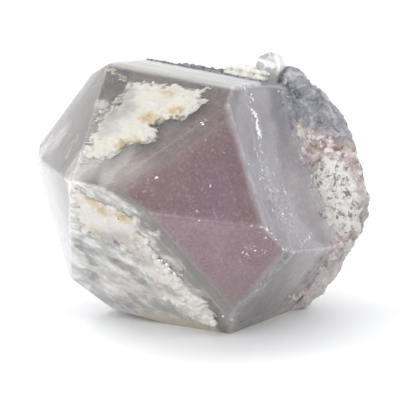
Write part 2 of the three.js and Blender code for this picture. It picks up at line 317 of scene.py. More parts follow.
LONG_AXIS = Vector((0, 0, 1))
CRYSTAL_AXES = (Vector((1, 0, 0)), Vector((0, 1, 0)), LONG_AXIS)
TURNED = (
    Matrix.Rotation(math.radians(HEADING), 4, "Z")
    @ Matrix.Rotation(math.radians(LEAN), 4, "X")
    @ Matrix.Rotation(math.radians(ROLL), 4, "Z")
)
LIE = Matrix.Scale(MM, 4) @ Matrix.Translation(MIDDLE) @ TURNED
SKYWARDS = TURNED.inverted() @ LONG_AXIS  # the specimen's up, in the crystal's axes


def normal_of(turn, tilt):
    """The outward normal of a face, in the crystal's own axes."""
    turn, tilt = math.radians(turn), math.radians(tilt)
    return Vector((math.sin(tilt) * math.cos(turn), math.sin(tilt) * math.sin(turn), math.cos(tilt)))


def face_axes(face):
    """A face's normal, the way across it and the way up it towards the tip."""
    turn, tilt, *_ = FACES[face]
    outwards = normal_of(turn, tilt)
    across = LONG_AXIS.cross(outwards).normalized()
    return outwards, across, outwards.cross(across)


def on_face(face, across, upwards, above=0):
    """The point of a face's plane at these distances across it and up it, raised above it."""
    outwards, along_u, along_w = face_axes(face)
    return outwards * (FACES[face][2] + above) + along_u * across + along_w * upwards


def laid_on(face, across=0, upwards=0, above=0, turn=0):
    """The matrix that lays what lies flat on XY onto a face, at a place in it and turned by degrees."""
    outwards, along_u, along_w = face_axes(face)
    axes = Matrix((along_u, along_w, outwards)).transposed().to_4x4()
    place = Matrix.Translation(on_face(face, across, upwards, above))
    return place @ axes @ Matrix.Rotation(math.radians(turn), 4, "Z")


def shreds():
    """The directions of the torn white wisps under the front face: outwards, along them and across them."""
    outwards, across, upwards = face_axes("front_pyramid")
    return outwards, (across - upwards).normalized(), (across + upwards).normalized()


SHREDS = shreds()


# ---- modelling, as by hand ----
def only(piece):
    """Selects this piece and nothing else."""
    bpy.ops.object.select_all(action="DESELECT")
    piece.select_set(True)
    bpy.context.view_layer.objects.active = piece
    return piece


def added(name):
    """Names the object that the last operator added."""
    piece = bpy.context.object
    piece.name = name
    piece.data.name = name
    return only(piece)


def modified(piece, kind, **settings):
    """Adds a modifier with these settings and applies it."""
    only(piece)
    modifier = piece.modifiers.new(kind.lower(), kind)
    for key, value in settings.items():
        setattr(modifier, key, value)
    bpy.ops.object.modifier_apply(modifier=modifier.name)
    return piece


def moved(piece, matrix):
    """Moves, turns and scales a piece and bakes that into its mesh."""
    only(piece)
    piece.matrix_world = matrix
    bpy.ops.object.transform_apply(location=True, rotation=True, scale=True)
    return piece


def sliced(piece, planes):
    """Cuts away what lies beyond each plane, given as (outward normal, distance), and closes the cut."""
    only(piece)
    bpy.ops.object.mode_set(mode="EDIT")
    for outwards, distance in planes:
        bpy.ops.mesh.select_all(action="SELECT")
        bpy.ops.mesh.bisect(
            plane_co=outwards * distance,
            plane_no=outwards,
            use_fill=True,
            clear_outer=True,
            threshold=1e-5,
        )
    bpy.ops.object.mode_set(mode="OBJECT")
    return piece


def joined(name, parts):
    """Joins parts into one piece."""
    only(parts[0])
    for part in parts:
        part.select_set(True)
    bpy.ops.object.join()
    return added(name)


def scattered(name, template, places):
    """Copies a template to each place, each copy with a mesh of its own, and joins the copies."""
    copies = []
    for place in places:
        copy = template.copy()
        copy.data = template.data.copy()
        copy.data.transform(place)
        bpy.context.scene.collection.objects.link(copy)
        copies.append(copy)
    bpy.data.objects.remove(template)
    return joined(name, copies)


def picked(piece, wanted):
    """Selects only the faces that pass a test of their middle, and enters edit mode on faces."""
    only(piece)
    bpy.context.tool_settings.mesh_select_mode = (False, False, True)
    bpy.ops.object.mode_set(mode="EDIT")
    bpy.ops.mesh.select_all(action="DESELECT")
    bpy.ops.object.mode_set(mode="OBJECT")
    for polygon in piece.data.polygons:
        polygon.select = wanted(polygon)
    bpy.ops.object.mode_set(mode="EDIT")


def done():
    """Leaves edit mode."""
    bpy.ops.object.mode_set(mode="OBJECT")


def packed_copy(node, name):
    """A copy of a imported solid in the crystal's own axes, with its loose triangles merged."""
    only(frame["nodes"][node])
    frame["nodes"][node].hide_viewport = False
    bpy.ops.object.duplicate()
    piece = added(name)
    for key in list(piece.keys()):
        del piece[key]
    bpy.ops.object.parent_clear(type="CLEAR_KEEP_TRANSFORM")
    piece.data.materials.clear()
    moved(piece, LIE.inverted())
    bpy.ops.object.mode_set(mode="EDIT")
    bpy.ops.mesh.select_all(action="SELECT")
    bpy.ops.mesh.remove_doubles(threshold=1e-4)
    bpy.ops.object.mode_set(mode="OBJECT")
    return piece


def cloud(name, kind, size, **settings):
    """A procedural texture for displacing a surface, with features of about this size."""
    texture = bpy.data.textures.new(name, kind)
    texture.noise_scale = size
    for key, value in settings.items():
        setattr(texture, key, value)
    return texture


def roughened(piece, texture, strength, middle=0.5):
    """Moves a surface in and out by a texture."""
    return modified(
        piece, "DISPLACE", texture=texture, strength=strength, mid_level=middle, texture_coords="LOCAL"
    )


def laid(piece, material, slot, *nodes):
    """Lays a finished piece in place on the specimen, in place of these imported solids."""
    moved(piece, LIE)
    piece.data.materials.clear()
    piece.data.materials.append(material)
    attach(piece, "root")
    if nodes:
        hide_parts(*nodes)
    return piece


# ---- shader maths ----
def operator(operation, swapped=False):
    """A Python operator that adds a Math node, with its terms swapped for the reflected form."""

    def operate(first, second):
        terms = (second, first) if swapped else (first, second)
        return first.maths(operation, *terms)

    return operate


class Value:
    """A socket that takes part in Python arithmetic by adding Math nodes."""

    def __init__(self, recipe, socket):
        self.recipe = recipe
        self.socket = socket

    def maths(self, operation, *terms, clamp=False):
        settings = {"operation": operation, "use_clamp": clamp}
        return self.recipe.add("ShaderNodeMath", settings, dict(enumerate(terms)))

    __add__, __radd__ = operator("ADD"), operator("ADD", swapped=True)
    __sub__, __rsub__ = operator("SUBTRACT"), operator("SUBTRACT", swapped=True)
    __mul__, __rmul__ = operator("MULTIPLY"), operator("MULTIPLY", swapped=True)
    __truediv__ = operator("DIVIDE")

    def clamped(self):
        return self.maths("ADD", self, 0, clamp=True)

    def step(self, low, high):
        """Rises smoothly from 0 at low to 1 at high."""
        sockets = {"Value": self, "From Min": low, "From Max": high}
        return self.recipe.add("ShaderNodeMapRange", {"interpolation_type": "SMOOTHSTEP"}, sockets)


class Recipe:
    """One material's node tree."""

    def __init__(self, name):
        self.material = bpy.data.materials.new(name)
        self.material.use_nodes = True
        self.tree = self.material.node_tree
        self.tree.nodes.clear()
        self.output = self.tree.nodes.new("ShaderNodeOutputMaterial")
        place = self.add("ShaderNodeTexCoord", output="Object")
        lie = {"Vector": place, "Location": MIDDLE * MM, "Rotation": TURNED.to_euler(), "Scale": (MM,) * 3}
        self.crystal = self.add("ShaderNodeMapping", {"vector_type": "TEXTURE"}, lie)

    def add(self, kind, settings=None, sockets=None, output=0):
        """Adds a node, makes its settings, then fills its sockets with values or links."""
        node = self.tree.nodes.new(kind)
        for key, value in (settings or {}).items():
            setattr(node, key, value)
        for key, value in (sockets or {}).items():
            self.fill(node.inputs[key], value)
        return Value(self, node.outputs[output])

    def fill(self, socket, value):
        if isinstance(value, Value):
            self.tree.links.new(value.socket, socket)
        elif socket.type == "RGBA" and len(value) == 3:
            socket.default_value = (*value, 1)
        else:
            socket.default_value = value

    def noise(self, scale, detail=3, roughness=0.5, distortion=0, vector=None):
        sockets = {
            "Vector": vector or self.crystal,
            "Scale": scale,
            "Detail": detail,
            "Roughness": roughness,
            "Distortion": distortion,
        }
        return self.add("ShaderNodeTexNoise", {}, sockets)

    def grains(self, scale, vector):
        """A random value for each grain of the rock, with about this many grains to a millimetre."""
        sockets = {"Vector": vector, "Scale": scale}
        return self.along((1, 0, 0), self.add("ShaderNodeTexVoronoi", {}, sockets, output="Color"))

    def vector_maths(self, operation, *terms, output="Vector"):
        return self.add("ShaderNodeVectorMath", {"operation": operation}, dict(enumerate(terms)), output)

    def along(self, direction, vector=None):
        """The distance of each point along a direction of the crystal's axes."""
        return self.vector_maths("DOT_PRODUCT", vector or self.crystal, tuple(direction), output="Value")

    def stretched(self, axes, scales):
        """The crystal's coordinates along three directions, each squeezed by its scale."""
        parts = {i: self.along(axis) * scale for i, (axis, scale) in enumerate(zip(axes, scales))}
        return self.add("ShaderNodeCombineXYZ", {}, parts)

    def warped(self, scale, amount):
        """The crystal's coordinates pushed about by noise of this scale, by up to half the amount in mm."""
        sockets = {"Vector": self.crystal, "Scale": scale, "Detail": 4}
        drift = self.add("ShaderNodeTexNoise", {}, sockets, output="Color")
        centred = self.vector_maths("SUBTRACT", drift, (0.5,) * 3)
        return self.vector_maths("MULTIPLY_ADD", centred, (amount,) * 3, self.crystal)

    def spot(self, place, radius, softness, vector=None):
        """1 within a radius of a place in the crystal's axes, fading to 0 over the softness."""
        away = self.vector_maths("DISTANCE", vector or self.crystal, tuple(place), output="Value")
        return 1 - away.step(radius - softness / 2, radius + softness / 2)

    def spots(self, places, vector, share, fade=0):
        """Spots, as (place, radius), in one: each fades over a share of its radius, and this much more."""
        total = 0
        for place, radius in places:
            total += self.spot(place, radius, share * radius + fade, vector)
        return total.clamped()

    def face_spots(self, face, places, vector, share, fade=0):
        """Spots on a face, as (across, upwards, radius), in one."""
        places = [(on_face(face, across, upwards), radius) for across, upwards, radius in places]
        return self.spots(places, vector, share, fade)

    def line(self, start, end, radius, vector):
        """1 within a radius of the line from start to end, fading to 0 at twice the radius."""
        start, end = Vector(start), Vector(end)
        length, direction = (end - start).length, (end - start).normalized()
        along = self.along(direction, vector) - start.dot(direction)
        along = (along / length).clamped() * length
        foot = self.vector_maths("MULTIPLY_ADD", tuple(direction), along, tuple(start))
        away = self.vector_maths("DISTANCE", vector, foot, output="Value")
        return 1 - away.step(radius, 2 * radius)

    def near_face(self, face, inset=0, reach=0.7):
        """1 at a face moved in by inset, falling to 0 this far beneath it."""
        turn, tilt, distance, _ = FACES[face]
        level = distance - inset
        return self.along(normal_of(turn, tilt)).step(level - reach, level - 0.1 * reach)

    def blend(self, factor, first, second):
        """Mixes two colours."""
        sockets = {"Factor": factor, 6: first, 7: second}
        return self.add("ShaderNodeMix", {"data_type": "RGBA"}, sockets, output=2)

    def painted(self, color, *coats):
        """A colour under coats of others, each given as (how far it covers, colour)."""
        for factor, shade in coats:
            color = self.blend(factor, color, shade)
        return color

    def bump(self, height, distance, strength):
        """A bump of this height, in metres, times the height value."""
        return self.add("ShaderNodeBump", {}, {"Height": height, "Distance": distance, "Strength": strength})

    def principled(self, **sockets):
        """The main shader, with its sockets named in Python's way."""
        named = {}
        for key, value in sockets.items():
            named[key.replace("_", " ").title().replace("Ior", "IOR")] = value
        return self.add("ShaderNodeBsdfPrincipled", {}, named)

    def shaders(self, factor, first, second):
        return self.add("ShaderNodeMixShader", {}, {0: factor, 1: first, 2: second})

    def finish(self, surface, volume=None):
        self.tree.links.new(surface.socket, self.output.inputs["Surface"])
        if volume:
            self.tree.links.new(volume.socket, self.output.inputs["Volume"])
        return self.material


# ---- materials: colours are linear ----
QUARTZ_IOR = 1.544
QUARTZ_ABSORPTION = {"Color": (0.82, 0.83, 0.8), "Density": 30}
MILK = (0.61, 0.6, 0.58)
FROST = (0.62, 0.61, 0.67)
# painted light: a pale lilac haze near the root that covers the shade of the rock's socket seen through the
# glass
ROOT_PAINTED_LIGHT = (0.56, 0.5, 0.53)
SLATE = (0.24, 0.255, 0.285)
DULL_SLATE = (0.55, 0.56, 0.58)
RUST = (0.36, 0.29, 0.19)
WORN_EDGE = (0.72, 0.7, 0.71)
OLIVE = (0.38, 0.34, 0.335)
# painted shade near the ground: a warm grey haze for the floor's contact shade seen through the crystal's
# bottom
PAINTED_GROUND_SHADE = (0.46, 0.43, 0.37)
SIDE_WHITE = (0.78, 0.78, 0.77)
SUGAR, BRIGHT_SUGAR = (0.62, 0.62, 0.65), (0.95, 0.95, 0.95)
VEIL_WHITE = (0.78, 0.77, 0.75)
FLOOR = (0.955, 0.97, 0.995)

# Cloudy patches in the crystal's skin: place in the crystal's axes, radius and strength.
CLOUDS = (
    ((-1.6, 2.6, 24.6), 2.8, 0.36), ((-0.6, -0.6, 25.6), 2.2, 0.34), ((-16.6, 1.6, 9.8), 2.2, 0.6),
    ((-5.2, 10, 16.6), 0.9, 0.45), ((-13.2, 4.2, 12.2), 2.2, 0.35), ((2.9, 2.6, 26), 1.3, 0.14),
    ((4.6, 4.2, 24.6), 1.4, 0.14),
)

# In the cloudy front face, its clearer windows, clear side and whiter clots: place in it, and radius.
WINDOWS = (
    (-4.9, 7.8, 1.5), (-4.4, 4.8, 1.1), (0.9, 11.3, 1.3), (-0.1, 6.6, 1), (-5.6, 1.2, 1.1),
    (1.2, 5.4, 1), (2.6, 2.8, 0.9),
)
FROST_PATCHES = ((-3.5, 10.2, 2.6), (-8.2, 6.6, 3))  # on the right prism face
CLEAR_SIDE = ((7.5, 17.5, 1.6), (10, 13, 2.4), (13, 8, 3.6), (14.5, 2, 3.4), (14.5, -3, 3.6))
CLOTS = (
    (-3.2, 6.1, 0.6), (-6.8, 4.2, 1.3), (-0.9, 4.6, 0.9), (2.2, 7.3, 0.8), (-3.4, -1.2, 1.6), (0.6, 1.2, 1),
    (4.6, 6.4, 1.3), (-2.4, 9.6, 0.9),
)

# Where rust crept along the crystal's edge: the ends of the line in the crystal's axes, radius and strength.
RUSTY = (
    ((-9.6, 14.4, 9.8), (-7.6, 13.9, 11.4), 0.22, 0.65),
    ((-7.6, 13.9, 11.4), (-4.4, 13.3, 12.3), 0.14, 0.7),
    ((1, -16.6, 5.5), (9.5, -16.4, 5.6), 1.3, 0.4),
)

# Where the quartz is cloudy along an edge: the ends of the line in the crystal's axes, radius and strength.
FROSTED_EDGES = (
    ((-1, 0.9, 27.6), (-5, -5.8, 19.1), 0.9, 0.12),
    ((-5, -5.8, 19.1), (-8.9, -12.6, 10.5), 0.8, 0.12),
    ((-8.9, -12.6, 10.5), (-8.7, -14.4, 8), 0.9, 0.2),
)

EDGE_WEAR = 0.22  # how far the wear reaches from an edge, in mm

# Edges of the crystal that are worn white, as the faces that meet there, with the strength.
WORN_EDGES = (
    ("top_pyramid", "right_pyramid", 0.1),
    ("right_pyramid", "lower_pyramid", 0.1),
    ("right_pyramid", "right_steep", 0.12),
    ("right_steep", "right_prism", 0.08),
    ("lower_pyramid", "lower_steep", 0.2),
    ("lower_steep", "lower_prism", 0.16),
    ("right_prism", "lower_prism", 0.25),
    ("lower_pyramid", "front_pyramid", 0.15),
    ("top_pyramid", "upper_pyramid", 0.2),
    ("left_pyramid", "upper_pyramid", 0.3),
)


def front_clouds(r, warped, curds):
    """How cloudy the front face is: torn and curdled, with windows and clots, but for its clear side."""
    torn = r.noise(1, 4, 0.6, 0.8, r.stretched(SHREDS, (0.3, 0.3, 0.52)))
    windows = r.face_spots("front_pyramid", WINDOWS, warped, 1.6)
    clots = r.face_spots("front_pyramid", CLOTS, warped, 1.6)
    clear_side = r.face_spots("front_pyramid", CLEAR_SIDE, warped, 0, 1.6)
    cloudiness = 0.34 - 0.34 * windows + 0.3 * clots
    cloudiness += 0.27 * torn.step(0.38, 0.72) + 0.3 * curds.step(0.42, 0.7)
    return cloudiness * (1 - 0.94 * clear_side)


def clear_quartz():
    """Clear quartz with cloudy patches, growth lines on its prism faces, worn edges and frosted patches."""
    r = Recipe("clear_quartz")
    lines = r.noise(1, 4, 0.6, 0.2, r.stretched(CRYSTAL_AXES, (0.06, 0.06, 3.2)))
    skin = r.noise(0.35, 2)
    bump = r.bump(lines * 0.4 + skin, 0.00012, 0.3)
    warped = r.warped(0.9, 2.2)
    speckle = r.noise(3.2, 4, 0.7).step(0.5, 0.62)
    wisps = r.noise(0.5, 4, 0.65, 0.6)
    near = {face: r.near_face(face) for face in FACES}
    milk = 0.02 + 0.08 * wisps.step(0.48, 0.75) + 0.05 * speckle
    silver = r.noise(1, 4, 0.65, 0.5, r.stretched(face_axes("left_pyramid"), (0.5, 0.16, 0.6)))
    milk += near["left_pyramid"] * (0.03 + 0.16 * silver.step(0.34, 0.7))
    curds = r.noise(0.8, 4, 0.6, 0.3)
    milk += near["front_pyramid"] * front_clouds(r, warped, curds)

    flecks = r.noise(0.9, 4, 0.65, 0.5)
    milk += near["upper_pyramid"] * (0.02 + 0.4 * flecks.step(0.58, 0.74))
    for place, radius, strength in CLOUDS:
        milk += r.spot(Vector(place), radius, 1.2 * radius, warped) * (strength * (0.5 + flecks))
    for start, end, radius, strength in FROSTED_EDGES:
        milk += r.line(start, end, radius, warped) * (strength * (0.3 + 1.2 * curds))

    streaks = r.noise(1, 4, 0.7, 0.3, r.stretched(face_axes("right_prism"), (0.3, 0.3, 2.6)))
    frost = r.face_spots("right_prism", FROST_PATCHES, warped, 1)
    frost += r.spot(on_face("right_prism", 4, 7.2), 1.2, 2, warped) * 0.5
    frosted = near["right_prism"]
    rubbed = 0.08 + 0.1 * streaks.step(0.46, 0.7) + frost.clamped() * (0.06 + 0.45 * speckle)
    slaty = r.spot(on_face("right_prism", 7, -7.2), 2.4, 3.2, warped) * frosted
    milk += frosted * rubbed + slaty * (0.25 + 0.5 * speckle)
    bands = near["right_steep"] * (1 - frosted) + near["lower_steep"] * (1 - near["lower_prism"])
    milk += bands * (0.24 + 0.12 * streaks.step(0.4, 0.7))
    height = r.along(LONG_AXIS)
    # painted light near the root: the prism faces are hazed pale there, over the shade of the rock's socket
    # seen through the glass
    root_painted_light = 1 - (height + 6 * (wisps - 0.5)).step(-9.5, -1)
    sides = (near["upper_prism"] + near["left_prism"] + near["front_prism"]).clamped()
    root_painted_light = root_painted_light * (frosted + near["lower_prism"] * 0.55 + sides).clamped()
    milk += root_painted_light * (0.8 - sides * (0.15 + 0.35 * curds.step(0.35, 0.65)))
    milk += near["lower_prism"] * (0.1 + 0.14 * curds.step(0.4, 0.72) + 0.08 * speckle)

    long_lines = r.noise(1, 4, 0.65, 0.3, r.stretched(CRYSTAL_AXES, (0.1, 0.1, 1.3)))
    milk += sides * (0.08 + 0.24 * wisps.step(0.4, 0.78) + 0.14 * long_lines.step(0.42, 0.72))
    slanted = height - 0.12 * r.along((1, 0, 0))
    silver_strip = (slanted + 3 * (curds - 0.5)).step(0.8, 1.3)
    top = (near["top_steep"] + near["top_prism"]).clamped()
    milk += top * silver_strip * (0.38 + 0.34 * long_lines.step(0.35, 0.65))
    small = r.spot(SIDE_CRYSTAL["middle"], 3.2, 0.8)
    slate = top * (1 - silver_strip) * (1 - small)
    milk += slate * (0.5 + 0.5 * curds.step(0.35, 0.65))
    # painted shade near the ground: a warm grey haze over the crystal's lowest couple of millimetres, for
    # the contact shade seen through its bottom
    low = 1 - (r.along(SKYWARDS) + MIDDLE.z + 1.2 * (curds - 0.5)).step(0.3, 2.4)
    milk += low * (0.2 + 0.35 * flecks)
    milk += small * (0.28 + 0.32 * flecks.step(0.4, 0.7))

    worn = 0
    chips = 0.35 + 0.65 * r.noise(1.4, 4, 0.7).step(0.42, 0.6)
    for first, second, strength in WORN_EDGES:
        worn += r.near_face(first, 0, EDGE_WEAR) * r.near_face(second, 0, EDGE_WEAR) * strength
    worn = worn.clamped() * chips
    rust = 0
    for start, end, radius, strength in RUSTY:
        rust += r.line(start, end, radius, warped) * strength
    rust = rust.clamped() * (0.35 + 0.65 * curds.step(0.4, 0.6))
    clear = {"base_color": (1, 1, 1), "roughness": 0.015, "transmission_weight": 1}
    glass = r.principled(**clear, ior=QUARTZ_IOR, normal=bump)
    color = r.painted(
        MILK,
        (frosted, FROST),
        (bands.clamped(), FROST),
        (near["lower_prism"] * wisps.step(0.42, 0.6), OLIVE),
        # painted light near the root, over the socket's shade
        (root_painted_light, ROOT_PAINTED_LIGHT),
        # painted shade near the ground
        (low, PAINTED_GROUND_SHADE),
        (slate * (1 - 0.4 * wisps.step(0.5, 0.7)), SLATE),
        (slaty * (1 - 0.7 * flecks.step(0.5, 0.6)), SLATE),
        (small, SIDE_WHITE),
        (worn, WORN_EDGE),
        (rust, RUST),
    )
    cloudy = r.principled(base_color=color, roughness=0.35, ior=QUARTZ_IOR, normal=bump)
    volume = r.add("ShaderNodeVolumeAbsorption", {}, QUARTZ_ABSORPTION)
    color = r.blend(slate, DULL_SLATE, color)
    dull = r.principled(base_color=color, roughness=1, specular_ior_level=0, normal=bump)
    scored = slate * 0.85 + top * silver_strip * 0.5 * (1 - long_lines.step(0.38, 0.5))
    surface = r.shaders((milk + worn + rust).clamped(), glass, cloudy)
    return r.finish(r.shaders(scored, surface, dull), volume)


# The colours of the phantom's dusting, by the faces that it lies on.
DUST = (
    ((0.315, 0.28, 0.26), ("top_pyramid",)),
    ((0.34, 0.33, 0.34), ("top_steep", "top_prism")),
    ((0.275, 0.13, 0.16), ("right_pyramid",)),
    ((0.45, 0.295, 0.335), ("lower_pyramid",)),
    ((0.53, 0.5, 0.56), ("right_steep", "right_prism", "lower_steep")),
    ((0.4, 0.37, 0.4), ("lower_prism",)),
    ((0.115, 0.115, 0.1), ("upper_pyramid",)),
    ((0.36, 0.32, 0.33), ("upper_prism", "left_prism", "front_prism")),
    ((0.18, 0.18, 0.18), ("left_pyramid",)),
    ((0.64, 0.63, 0.59), ("front_pyramid",)),
)

LEAST_SHARE = 0.001  # of each face's colour, which keeps their sum above nothing
DUSTY_RIM = (0.45, 0.38, 0.35)
DUST_DARK, DUST_PALE = (0.25, 0.16, 0.21), (0.5, 0.38, 0.38)
SPECK_DARK, SPECK_PALE = (0.17, 0.11, 0.14), (0.6, 0.5, 0.54)

# Stains on each face of the phantom: place across and up it, radius, colour and strength.
STAINS = {
    "top_pyramid": (
        (-8.2, 2, 3.6, (0.22, 0.155, 0.15), 0.85),
        (-7, 7.5, 3, (0.29, 0.22, 0.215), 0.8),
        (-4, 16.5, 3.2, (0.52, 0.44, 0.4), 0.8),
        (5.5, 2.5, 2.6, (0.24, 0.23, 0.21), 0.6),
        (-0.5, 9.5, 3.4, (0.26, 0.225, 0.2), 0.5),
    ),
    "right_pyramid": (
        (3.5, 5, 4.5, (0.29, 0.155, 0.19), 0.7),
        (-4.5, 6, 3.5, (0.31, 0.18, 0.26), 0.6),
        (0, 12, 4, (0.37, 0.21, 0.22), 0.6),
        (5.5, 0.5, 2.5, (0.36, 0.24, 0.25), 0.6),
    ),
    "lower_pyramid": (
        (-4.5, -2.5, 3.6, (0.4, 0.36, 0.33), 0.7),
        (6, 0, 3.2, (0.38, 0.21, 0.27), 0.7),
    ),
    "right_prism": (
        (4, 2, 4, (0.4, 0.385, 0.42), 0.7),
        (-6, -1, 5, (0.68, 0.57, 0.6), 0.7),
    ),
    "lower_prism": (
        (-1.4, 5.5, 4.5, (0.3, 0.26, 0.26), 0.8),
        (-4, 2, 4, (0.33, 0.295, 0.29), 0.8),
        (4, 7.5, 3, (0.25, 0.22, 0.2), 0.7),
        (-6, 7, 2.6, (0.27, 0.235, 0.22), 0.7),
    ),
    "front_pyramid": (
        (-4, 8.2, 2.6, (0.25, 0.28, 0.275), 0.85),
        (1.4, 10.6, 2.4, (0.25, 0.28, 0.275), 0.85),
        (-2.8, 5.2, 2.2, (0.3, 0.33, 0.32), 0.7),
        (4, -4.5, 4.5, (0.55, 0.49, 0.35), 0.7),
        (9, 14, 3, (0.37, 0.35, 0.32), 0.85),
        (12.5, 8, 4.5, (0.36, 0.345, 0.32), 0.85),
        (13.5, 0, 5, (0.52, 0.49, 0.46), 0.85),
    ),
}


def hematite_dust():
    """The mauve dusting of hematite on the phantom, which thins out towards the clear sides."""
    r = Recipe("hematite_dust")
    near = {face: r.near_face(face, cover, 0.3) for face, cover in COVER.items()}
    total, color = None, None
    for shade, faces in DUST:
        for face in faces:
            share = near[face] + LEAST_SHARE
            total = total + share if total else share
            color = r.blend(share / total, color, shade) if color else r.blend(1, shade, shade)
    warped = r.warped(0.35, 2.5)
    for face, stains in STAINS.items():
        for across, upwards, radius, shade, strength in stains:
            stain = r.spot(on_face(face, across, upwards, -COVER[face]), radius, 0.9 * radius, warped)
            color = r.blend(stain * near[face] * strength, color, shade)
    rim = r.near_face("top_pyramid", COVER["top_pyramid"], 0.9)
    rim += r.near_face("front_pyramid", COVER["front_pyramid"], 0.8)
    mauve = near["right_pyramid"] + near["lower_pyramid"]
    speckle = r.noise(2.4, 6, 0.8)
    uneven = r.noise(0.3, 5, 0.7, 0.3)
    mottle = r.noise(0.9, 5, 0.7, 0.2)
    color = r.painted(
        color,
        (rim.clamped() * mauve.clamped() * 0.45, DUSTY_RIM),
        (uneven.step(0.4, 0.68) * 0.3, DUST_DARK),
        (mottle.step(0.48, 0.68) * 0.22, DUST_PALE),
        (speckle.step(0.52, 0.66) * 0.55, SPECK_PALE),
        ((1 - speckle.step(0.36, 0.46)) * 0.5, SPECK_DARK),
    )
    return r.finish(r.principled(base_color=color, roughness=0.6, normal=r.bump(speckle, 0.0001, 0.4)))


def milky_veil():
    """The milky stuff of a healed crack: torn into wisps, and faded out towards its rim."""
    r = Recipe("milky_veil")
    flat = r.add("ShaderNodeUVMap", {"uv_map": VEIL_MAP})
    drift = r.vector_maths("MULTIPLY", r.crystal, (0.15,) * 3)
    along = r.vector_maths("MULTIPLY_ADD", flat, (1.6, 4.2, 1), drift)
    torn = r.noise(1, 5, 0.62, 0.9, along)
    away = r.vector_maths("DISTANCE", flat, (0.5, 0.5, 0), output="Value") * 2
    wisp = torn.step(0.44, 0.62) * (1 - away.step(0.35, 0.95))
    return r.finish(r.principled(base_color=VEIL_WHITE, roughness=0.6, alpha=wisp * 0.75))


# Patches of the rock: place in the crystal's axes and radius.
CREAM_PATCHES = (
    ((17.8, 3.8, -7.8), 3), ((19, -0.4, -8.4), 2.2), ((16.6, 6.4, -7.6), 1.6), ((6, 2, -19), 3.5),
    ((-9, -6, -17), 3),
)
ORANGE_PATCHES = (
    ((12.8, 11, -7), 0.9), ((14.7, 8.4, -7.4), 0.9), ((17.3, 9.6, -8.8), 0.9), ((14.6, -12.2, -10.3), 1.6),
    ((-4, 6, -18.5), 2.6), ((9, -8, -17), 2.2),
)
CREAM = (0.88, 0.86, 0.81)
PINKISH = (0.7, 0.61, 0.6)
BROWNISH = (0.38, 0.29, 0.265)
ORANGE = (0.46, 0.31, 0.19)
TAN = (0.68, 0.6, 0.575)
GLASSY, GLASSY_PALE = (0.3, 0.31, 0.35), (0.33, 0.34, 0.38)
GLASSY_STREAK, GLASSY_DARK = (0.62, 0.62, 0.66), (0.14, 0.145, 0.17)
DARK_SLATE = (0.15, 0.16, 0.185)
GREY, GREY_CRUMB, WHITE_CRUMB = (0.56, 0.53, 0.51), (0.38, 0.375, 0.39), (0.93, 0.92, 0.89)
# The hollow and pit colours are painted shade for the rock's hollows and crevices; the blot colour is a
# darker patch.
PAINTED_HOLLOW_SHADE, BLOT, PAINTED_PIT_SHADE = (0.3, 0.235, 0.22), (0.28, 0.255, 0.25), (0.16, 0.145, 0.14)
PINK_SKIN = (0.72, 0.665, 0.66)
PALE_GRAIN, BRIGHT_GRAIN = (0.8, 0.785, 0.76), (0.86, 0.85, 0.83)


